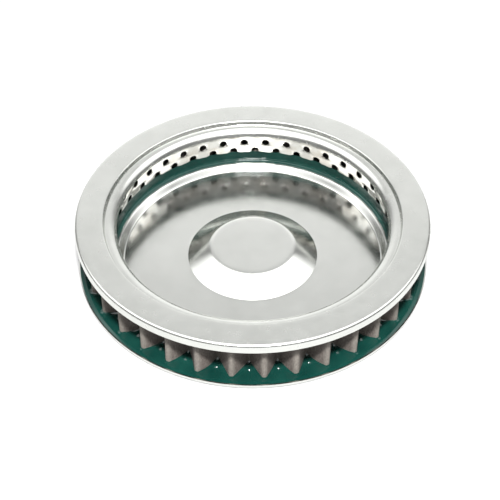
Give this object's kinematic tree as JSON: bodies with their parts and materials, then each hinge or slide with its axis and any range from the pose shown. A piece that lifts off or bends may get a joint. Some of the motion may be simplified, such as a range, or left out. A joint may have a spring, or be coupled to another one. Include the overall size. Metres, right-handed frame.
{
  "type": "round pleated air filter element",
  "caption": "Flat round pleated air filter element: steel top ring and closed bottom pan with a raised centre, perforated inner liner, V-pleated media, green plastisol potting.",
  "frame": {"origin": "centre of the pan's underside, on the element's axis", "axes": "+Z along the element's axis, from the closed pan to the open top ring"},
  "size_m": [0.134, 0.134, 0.0223],
  "materials": {
    "cap_steel": "satin tinned sheet",
    "pan_steel": "bright tinned sheet, soft mirror",
    "liner_steel": "bright perforated sheet",
    "filter_media": "matt fibrous",
    "plastisol": "glossy poured"
  },
  "bodies": {
    "root": {"top_end_ring": "cap_steel", "bottom_pan": "pan_steel", "perforated_liner": "liner_steel", "pleated_media": "filter_media", "top_potting_ring": "plastisol", "bottom_potting_ring": "plastisol"}
  },
  "joints": []
}
